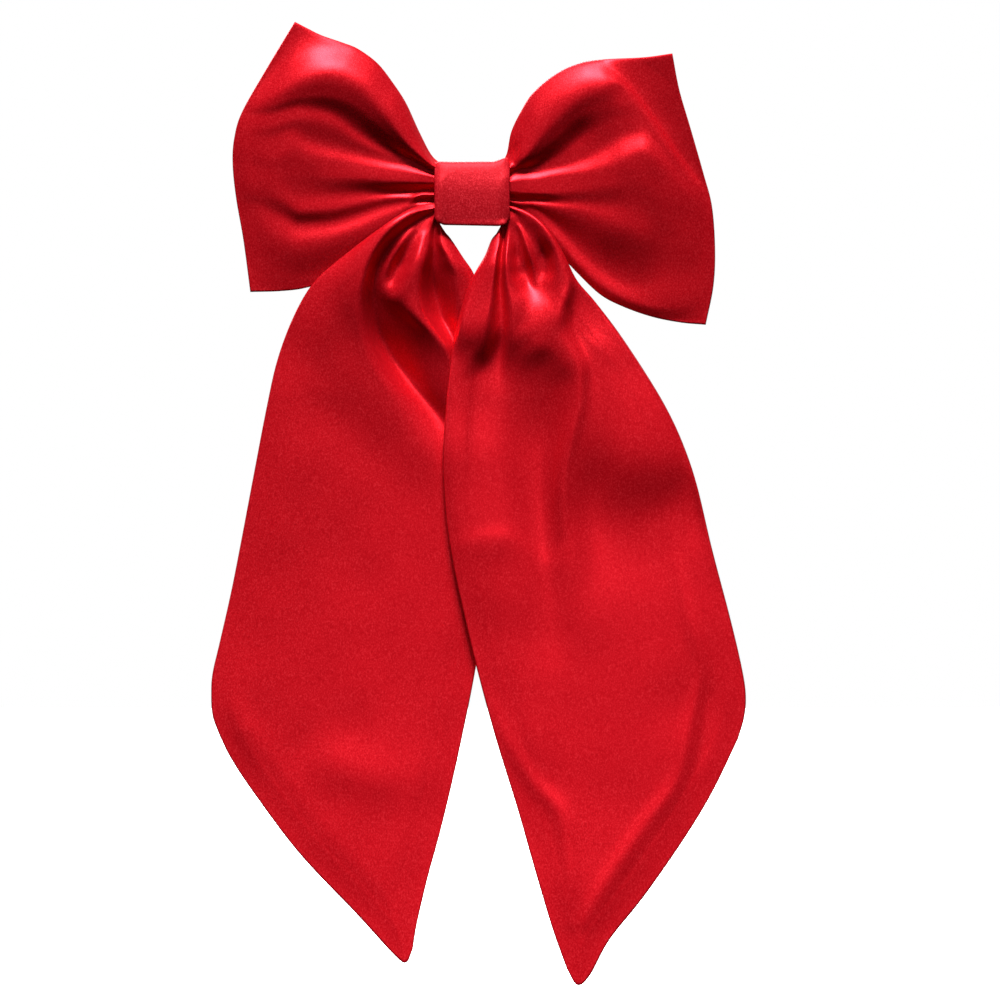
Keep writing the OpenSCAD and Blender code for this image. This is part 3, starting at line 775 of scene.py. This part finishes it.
def left_tail_folds(p):
    x, z = p.x, p.z
    h = p.loft([
        # inner pleat, its pocket, and the pleat that bends across
        [(-12, -10.6, 1), (-10.6, -18, 1.6), (-7, -25, 1.4), (-4.6, -31, 1), (-3.6, -40, 0.6),
         (-3, -55, 0.2), (0, -80, 0), (2, -115, 0)],
        [(-12.6, -9.4, 0.2), (-13.4, -18, -0.8), (-13.8, -27, -2.8), (-12.8, -36, -4.2),
         (-10.4, -44, -3.8), (-6.6, -52, -1.6), (-3.4, -68, -0.2), (-1, -90, 0), (0, -115, 0)],
        [(-13, -8.4, 1.2), (-15.6, -18, 1.4), (-18, -27, 1.8), (-19.4, -36, 2.3), (-18.6, -43, 2.8),
         (-14.6, -48, 3), (-10, -52.4, 2.6), (-7.4, -60, 1.6), (-5, -74, 0.4), (-3, -92, 0),
         (-2, -115, 0)],
        # the long dark hollow
        [(-13.4, -7.2, 0), (-20, -10.8, -0.4), (-27, -17, -0.8), (-31.6, -24, -1.1), (-33.8, -32, -1.6),
         (-33.6, -42, -3), (-30.6, -53, -5), (-25.4, -62, -6.2), (-18.6, -70.6, -6.4), (-11, -79, -5.4),
         (-6, -88, -2.4), (-4, -102, -0.2), (-3.4, -115, 0)],
        # outermost pleat, opening into the broad light fold
        [(-13.8, -5.8, 1.6), (-21, -7.6, 2.4), (-28.4, -12.8, 3), (-34, -19.6, 3.2), (-38, -28.6, 3),
         (-39.6, -40, 2.2), (-37.6, -53, 1.4), (-32.4, -65, 1), (-25, -75.6, 0.6), (-16, -85.6, 0.4),
         (-9, -95, 0.2), (-6, -106, 0), (-5, -115, 0)],
        [(-13.9, -5.4, 1.3), (-22, -6.7, 1.6), (-30.4, -12, 2.2), (-37.6, -19.4, 2.2), (-44, -29, 2),
         (-47, -42, 1.4), (-47, -58, 0.9), (-44, -73, 0), (-38, -88, -0.7), (-27, -101, -0.6),
         (-18, -112, -0.2), (-14, -120, 0)],
    ])
    h = calm_below(h, z, -60, -90)
    h += folds(x, z, [
        # round pocket with a light lip
        ([(-21, -13.6), (-26, -19.6), (-30, -26.5), (-31.2, -32.5), (-29, -36.4), (-26, -36.4),
         (-22.8, -31.6), (-19.8, -24), (-17, -15.5)], (0.5, 1.0, 1.0, 0.7, 0.4, 0.6, 1.0, 1.0, 0.6),
         (1.2, 1.8, 3.4, 1.4)),
        ([(-19.6, -16), (-22.6, -22), (-25.4, -27), (-27, -30.4)], (-0.4, -1.3, -1.8, -1.2), 2.6),
        ([(-58, -193), (-47, -200), (-36, -203.5), (-16, -205)], (-0.1, 0.8, 0.9, 0.1), (9, 12), (8, 9)),
        ([(-84, -176), (-80, -186), (-74, -200)], (0.1, 0.6, 0.1), 4),
    ])
    h = deepen(h, z)
    return h + ripples(x, z, 11, 60, 0.6) + ripples(x, z, 12, 24, 0.15)


def right_tail_folds(p):
    x, z = p.x, p.z
    h = p.loft([
        # inner border, the pleat from the knot's corner and the light patches under it
        [(9.6, -11.4, 0.6), (6.4, -18, 1), (3.4, -27, 1), (-0.6, -36, 1.4), (-3.6, -46, 2),
         (-5, -58, 0.2), (-6, -70, -0.6), (-6.4, -84, 0), (-6.2, -95, 0.9), (-5.4, -110, 1),
         (-3, -130, 0.6), (0, -150, 0)],
        [(10.2, -10.8, 1.4), (8.8, -20, 2), (7.8, -28, 2.2), (7, -36, 2.3), (5, -45, 2.8), (4, -53, 1.4),
         (3.4, -63, -2.2), (3, -74, -3), (3, -83, -2.3), (3, -93, -0.9), (4, -106, 0), (6, -122, 0.4),
         (8, -138, 0.2), (10, -155, 0)],
        [(10.8, -10, 0.2), (10.6, -20, -0.8), (10, -30, -1), (10.4, -38, -0.6), (10.6, -46, -0.4),
         (9.4, -56, -2), (9.4, -70, -3), (11, -84, -2.4), (12, -95, -1.6), (13, -108, -0.6),
         (14, -122, 0), (15, -138, 0), (18, -155, 0)],
        [(12.8, -8.6, 1.6), (12.8, -16, 1.8), (12, -24, 1.8), (12.6, -32, 1.8), (14.4, -40, 2.4),
         (14, -50, 1.6), (13.4, -62, -1.2), (15, -76, -3.4), (17, -90, -4), (18, -104, -3),
         (18.6, -120, -1.4), (20, -134, -0.6), (22, -155, 0)],
        # two pockets above the lit apron, then the deep hollow
        [(15, -7, 1.2), (17.4, -13, 0.6), (19, -20, -1), (20, -27, -2.4), (21, -30, -2.2),
         (24, -34, -0.3), (27, -39, 1.8), (27, -45, 2.9), (26, -51, 2.6), (25, -62, 0),
         (24.6, -74, -3.3), (25, -86, -4.8), (25.4, -97, -4.8), (25.6, -109, -4.2), (25.6, -120, -3.6),
         (25.6, -132, -2.8), (26, -146, -1.7), (28, -168, -0.3)],
        # pleat down the right, which turns into the long ridge
        [(17.6, -7, 1.8), (24, -11.4, 2), (28, -17, 2.2), (31, -23, 2.4), (33.6, -30, 2.8),
         (33, -37, 3.4), (30.6, -43, 3.4), (31, -50, 2.8), (35, -57, 2.8), (37.8, -63, 2.4),
         (37.4, -71, 2), (35.6, -81, 1.5), (33, -92, 1), (32, -104, 0.8), (32.4, -116, 0.4),
         (34, -127, -0.1), (36, -142, -0.2)],
        [(19, -6.6, 1.4), (25, -10.8, 1.6), (30, -17.4, 1.8), (33, -23.6, 1.8), (35.6, -30.4, 1.4),
         (36, -38, 0.6), (35.4, -45, 0.4), (37.4, -51, 0.5), (41, -58, 0.8), (41.8, -66, 1),
         (41.6, -77, 1.2), (40.4, -88, 0.4), (40, -98, -1.6), (41, -107, -3.2), (43, -116, -3.4),
         (45, -127, -2.2), (47, -145, -0.6), (50, -165, 0)],
        [(20, -6.8, 1), (25.4, -10.9, 1.1), (30.8, -17.6, 1.2), (34, -24, 1.2), (36.4, -31, 0.8),
         (39.4, -38.4, 0.4), (42.6, -46, 0.6), (46, -53, 0.9), (49, -62, 1.1), (51.6, -76, 1.3),
         (54, -88, 1.4), (56, -98, 0.6), (58, -106, -1.3), (60, -114, -2.3), (61, -125, -1.8),
         (63, -145, -0.6), (64, -170, 0)],
        [(20.4, -7, 0.7), (26, -11.6, 0.8), (31.2, -18.6, 0.8), (34.6, -25, 0.8), (38.6, -33, 0.5),
         (46, -43, 0.6), (54, -54, 1.2), (61, -65, 1.4), (67, -78, 1.4), (71, -88, 1.4), (74, -95, 0.5),
         (77, -103, -1.1), (79, -112, -1.2), (81, -126, -0.3), (83, -145, 0)],
    ])
    h = calm_below(h, z, -56, -80)
    h += folds(x, z, [
        ([(38.2, -60), (37.4, -73), (34.6, -84), (31.9, -95), (31, -106), (31.6, -118)],
         (0.3, 0.9, 1.2, 1.2, 1, 0.3), 2.6),
        ([(16.6, -12), (19, -18), (21, -25), (22.2, -31)], (0.8, 1.4, 1.4, 0.8), (0.9, 1.7)),
        ([(14.4, -12), (15, -18), (15.4, -24), (15.8, -28)], (-0.3, -1.2, -2.2, -1.4), 2.2),
        ([(20.6, -11), (23.6, -17), (25.8, -22), (26.4, -27)], (-0.3, -1.2, -2.4, -1.4), 2.6),
        ([(39, -57), (43, -55), (47, -50)], (0.2, 0.5, 0.2), (5, 6), 9),
        ([(-5, -124), (5, -122), (12, -122), (18, -125.6), (24, -130), (30, -130), (34.6, -125)],
         (0.2, 0.5, 0.6, 0.5, 0.4, 0.4, 0.2), (3.4, 4.6), (8, 9)),
        ([(71, -130), (76, -150), (80, -168), (75, -188), (71, -206), (60, -221), (48, -239), (40, -254)],
         (0.1, 0.4, 0.5, 0.7, 0.7, 0.7, 0.3), (3, 4), (2.4, 3)),
        ([(80, -160), (82, -178), (80, -194), (74, -208)], (-0.1, -0.7, -0.7, -0.1), (3, 4)),
        ([(6, -176), (13, -193), (22, -207), (31, -217), (34, -232), (34.5, -254)],
         (0.1, 0.4, 0.6, 0.7, 0.7, 0.3), (2.6, 3.4), (2.4, 4)),
    ])
    h = deepen(h, z)
    return h + ripples(x, z, 21, 60, 0.6) + ripples(x, z, 22, 24, 0.18)


def tail_middle(p, start, steps, lean):
    """Depth of the middle of a tail's two layers.

    The first step is a move out round the knot, within 15 mm of the band. Each other step is (top, bottom,
    move). The lean brings the tip forwards.
    """
    out_x = np.clip(np.abs(p.x) - BAND_HIGH[0], 0, None)
    out_z = np.clip(BAND_LOW[2] - p.z, 0, None)
    depth = start + steps[0] * smooth(0, 15, np.hypot(out_x, out_z))
    depth -= lean * np.clip((-60 - p.z) / 200, 0, None) ** 1.5
    for top, bottom, move in steps[1:]:
        depth += move * smooth(top, bottom, p.z)
    return depth


def make_tail(side, edges, fold_height, start, steps, lean):
    drape_y = start + steps[0] + sum(step[2] for step in steps[1:])
    rows = crowded(TAIL_GRID[0], 0.0, 0.25)
    cols = crowded(TAIL_GRID[1], 0.4, 0.4)
    p = Patch(**edges, rows=rows, cols=cols)
    edge = p.seam_distance()
    middle = tail_middle(p, start, steps, lean) - soften(fold_height(p), 4)
    allowance = HEM_LIFT * smooth(HEM[1], HEM[0], edge)
    puff = TAIL_PUFF * smooth(0, 14, edge)
    thick = seam_lift(edge, SEAM_ROUND) + puff + allowance
    for word, sign in (("Front", -1), ("Back", 1)):
        outer = middle + sign * thick
        inner = middle + sign * np.maximum(thick - CLOTH, THINNEST)
        piece = panel(f"Tail{side}{word}", p, outer, inner, drape_y)
        nodes = [f"tail_{side}_{word}".lower()]
        if word == "Front":
            nodes.append(f"tail_{side}_neck".lower())
        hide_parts(*nodes)
        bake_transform(piece)


# ---------- knot

KNOT_GRID = (320, 110)   # points round the band and round its cross section
KNOT_HALF_LAYER = 0.9    # half the thickness of the folded band


def knot_edges(w):
    """Upper and lower edge of the band's front, at share w (-1 to 1) across it."""
    upper = np.interp(w, [-1, -0.9, -0.5, 0.2, 0.6, 0.86, 0.95, 1],
                      [11.0, 11.4, 11.2, 10.7, 11.4, 12.7, 12.5, 11.2])
    lower = np.interp(w, [-1, -0.93, -0.75, 0, 0.7, 0.9, 1],
                      [-9.0, -10.4, -11.4, -11.6, -11.8, -11.2, -9.0])
    return upper, lower


def squared(wave, power):
    """A sine or cosine pushed towards -1 and 1, so that a circle becomes a rounded box."""
    return np.sign(wave) * np.abs(wave) ** power


def make_knot():
    """Folded satin band wrapped once round the bundles, a closed ring of closed cross sections."""
    half = (BAND_HIGH[0] - BAND_LOW[0]) / 2
    centre_y = (BAND_LOW[1] + BAND_HIGH[1]) / 2
    half_y = (BAND_HIGH[1] - BAND_LOW[1]) / 2
    angle = np.linspace(0, 2 * math.pi, KNOT_GRID[0], endpoint=False)[:, None]
    # across the width: out over the band's face and back along its inside, with rolled edges
    s = (np.linspace(0, 1, KNOT_GRID[1], endpoint=False) * 2 * math.pi)[None, :]
    w = squared(np.cos(s), 0.16)
    layer = KNOT_HALF_LAYER * squared(np.sin(s), 0.45) - KNOT_HALF_LAYER
    # round the bundles: soft corners above, sharp ones below
    power = np.where(np.sin(angle) > 0, 2 / 8, 2 / 26)
    cy = squared(np.cos(angle), power)
    cz = squared(np.sin(angle), power)
    upper, lower = knot_edges(w)
    front = np.clip(-cy, 0, 1)
    x = half * w * (1 - 0.010 * front * (1 - cz**2)) + 0 * angle
    # the band's underside rises towards the back, out of sight from the front
    raised = 1 - 0.10 * (1 + cy) / 2
    z = np.where(cz > 0, cz * (upper + layer), -cz * (lower - layer) * raised)
    xx, zz = x / 4, z / 4
    creases = 0.22 * np.sin(1.9 * xx + 0.8 * zz + 0.6) * np.sin(1.3 * zz - 0.5 * xx)
    creases += 0.12 * np.sin(3.3 * xx - 2.1 * zz)
    dimple = 0.7 * np.exp(-(((x - 3) / 1.8) ** 2 + ((z + 7.4) / 1.5) ** 2))
    tuck = 0.9 * np.exp(-(((x - 10.4) / 1.6) ** 2 + ((z + 8.8) / 1.8) ** 2))
    side_roll = 0.5 * np.exp(-(((np.abs(x) - half) / 1.6) ** 2))
    lean = 1.0 * smooth(-4, 12, z) + 2.2 * smooth(2, 13.5, z) + 0.4 * smooth(-4, -12, z)
    y = centre_y + cy * (half_y + layer) + front * (dimple + tuck - creases + side_roll + lean)
    shape = skin(np.stack([x, y, z], axis=-1), closed=True)
    piece = bow_piece("KnotBand", "knot_band", shape, KNOT)


# ---------- inside the knot and behind it

# how square a section is: 1 is an oval, 0 a box
THREAD_TURN = 0.4
BUNDLE_ROUND = 0.5
PAD_ROUND = 0.22
BUNDLE_GRID = (90, 260)  # points along a bundle and round it
BUNDLE_INSET = 0.9       # how far a bundle stays inside its CAD solid
WAIST_END = (2.5, 3.2)   # the waist under the thread ends between these distances from the middle


def section(angle, half_y, half_z, square):
    """Points (y, z) of a rounded box section."""
    return half_y * squared(np.cos(angle), square), half_z * squared(np.sin(angle), square)


def make_bundle(name, node, waist, pleats, seed):
    """Satin drawn together into pleats, with a waist where a thread holds it."""
    low, high = box_mm(node)
    centre, half = (low + high) / 2, (high - low) / 2
    rng = np.random.default_rng(seed)
    drift = rng.uniform(0, 2 * math.pi, 3)
    x = np.linspace(low[0], high[0], BUNDLE_GRID[0])[:, None]
    angle = np.linspace(0, 2 * math.pi, BUNDLE_GRID[1], endpoint=False)[None, :]
    pinch = waist * smooth(WAIST_END[1], WAIST_END[0], np.abs(x))
    wander = 0.5 * np.sin(x / 5 + drift[0]) + 0.3 * np.sin(x / 2.3 + drift[1])
    depth = 0.45 * np.abs(np.sin(pleats * angle / 2 + wander + 0.4 * np.sin(3 * angle + drift[2])))
    y, z = section(angle, half[1], half[2], BUNDLE_ROUND)
    shrink = 1 - (pinch + depth + BUNDLE_INSET) / np.minimum(half[1], half[2])
    rings = np.stack([x + 0 * angle, centre[1] + y * shrink, centre[2] + z * shrink], axis=-1)
    piece = bow_piece(name, node, skin(rings), SATIN)


def twisted(path, radius, lay):
    """Rings of a two-ply thread along a path: two lobes that turn once in each length of lay."""
    ahead = np.gradient(path, axis=0)
    ahead /= np.linalg.norm(ahead, axis=1)[:, None]
    across = np.cross(ahead, (0.31, 0.17, 0.94))
    across /= np.linalg.norm(across, axis=1)[:, None]
    third = np.cross(ahead, across)
    run = np.concatenate([[0], np.cumsum(np.linalg.norm(np.diff(path, axis=0), axis=1))])[:, None]
    around = np.linspace(0, 2 * math.pi, 12, endpoint=False)[None, :]
    size = radius * (0.78 + 0.22 * np.abs(np.cos(around + math.pi * run / lay)))
    return (path[:, None] + (size * np.cos(around))[..., None] * across[:, None]
            + (size * np.sin(around))[..., None] * third[:, None])


THREAD_TURNS = 5
THREAD_RADIUS = 0.35
THREAD_LAY = 1.6         # length in which the thread's plies turn once
STITCHES = 6
STITCH_LAY = 0.9


def make_gather_thread():
    """Thread wound round the pinched loops in one run of turns."""
    low, high = box_mm("gather_thread")
    centre, half = (low + high) / 2, (high - low) / 2 - THREAD_RADIUS
    turn = np.linspace(0, 2 * math.pi * THREAD_TURNS, 130 * THREAD_TURNS)
    y, z = section(turn, half[1], half[2], THREAD_TURN)
    x = np.linspace(-half[0], half[0], len(turn))
    path = np.column_stack([x, centre[1] + y, centre[2] + z])
    shape = skin(twisted(path, THREAD_RADIUS, THREAD_LAY))
    bow_piece("GatherThread", "gather_thread", shape, THREAD)


def make_stitches():
    """Slanting hand stitches that close the band behind."""
    low, high = box_mm("band_stitches")
    radius = (high[1] - low[1]) / 2
    pitch = (high[0] - low[0] - 2 * radius) / (STITCHES - 1)
    verts, faces = np.zeros((0, 3)), []
    for k in range(STITCHES):
        x = low[0] + radius + k * pitch
        points = [(x - 0.35, low[1] - 0.3, low[2] + 0.2), (x - 0.25, low[1] + 0.15, low[2] + 0.6),
                  (x, low[1] + radius, 0), (x + 0.25, low[1] + 0.15, high[2] - 0.6),
                  (x + 0.35, low[1] - 0.3, high[2] - 0.2)]
        some, sides = skin(twisted(spline(points, np.linspace(0, 1, PATH_POINTS)), radius, STITCH_LAY))
        faces += [[i + len(verts) for i in side] for side in sides]
        verts = np.vstack([verts, some])
    bow_piece("BandStitches", "band_stitches", (verts, faces), THREAD)


PAD_THICKNESS = 1.0
PAD_CORNER = 1.6
PAD_FUZZ = 0.03          # unevenness of the felt's surface


def make_felt():
    """Felt strip that follows the arch of the plate, cut with round corners."""
    low, high = box_mm("backing_pad")
    half_length, half_width = (high[0] - low[0]) / 2, (high[2] - low[2]) / 2
    sag = high[1] - low[1] - PAD_THICKNESS
    radius = (half_length**2 + sag**2) / (2 * sag)
    x = half_length * np.sin(np.linspace(-math.pi / 2, math.pi / 2, 200))[:, None]
    corner = np.clip((np.abs(x) - (half_length - PAD_CORNER)) / PAD_CORNER, 0, 1)
    width = half_width - PAD_CORNER * (1 - np.sqrt(1 - corner**2))
    taper = np.sqrt(np.clip(1 - np.clip(corner * 1.6 - 0.6, 0, 1) ** 2, 0, 1))
    thick = PAD_THICKNESS / 2 * (0.25 + 0.75 * taper)
    angle = np.linspace(0, 2 * math.pi, 120, endpoint=False)[None, :]
    y, z = section(angle, thick - PAD_FUZZ, width, PAD_ROUND)
    rough = PAD_FUZZ * np.sin(x * 3.1 + 5 * angle) + PAD_FUZZ * np.sin(x * 1.7 - 9 * angle)
    level = low[1] + PAD_THICKNESS / 2 + radius - np.sqrt(radius**2 - x**2)
    rings = np.stack([x + 0 * angle, level + y + rough * 0.5, z * (1 + rough / half_width)], axis=-1)
    piece = bow_piece("FeltPad", "backing_pad", skin(rings), FELT)


def dress_cad():
    """Material of each CAD node by its slot; the barrette keeps its CAD shape."""
    looks = {"steel_plate": STEEL, "spring_steel": SPRING_STEEL, "thread": THREAD, "felt": FELT,
             "satin_loops": SATIN, "satin_tails": SATIN, "knot_satin": KNOT}
    for part in frame["record"]["subparts"]:
        node = frame["nodes"][part["node"]]
        node.data.materials.clear()
        node.data.materials.append(looks[part["material_slot"]])


scene.view_settings.view_transform = "Standard"
add_camera()
add_world()
add_floor()
add_lights()
dress_cad()
make_loop("Left", LEFT_LOOP, left_loop_front, 7)
make_loop("Right", RIGHT_LOOP, right_loop_front, 8)
make_tail("Left", LEFT_TAIL, left_tail_folds, -17, [-3.2, (-24, -60, 0.7)], 11)
make_tail("Right", RIGHT_TAIL, right_tail_folds, -17.6, [-4.6, (-26, -96, -3.0)], 8.5)
make_knot()
make_bundle("LoopGather", "loop_gather", 0.9, 30, 31)
make_bundle("TailGather", "tail_gather", 0.0, 26, 32)
make_gather_thread()
make_stitches()
make_felt()
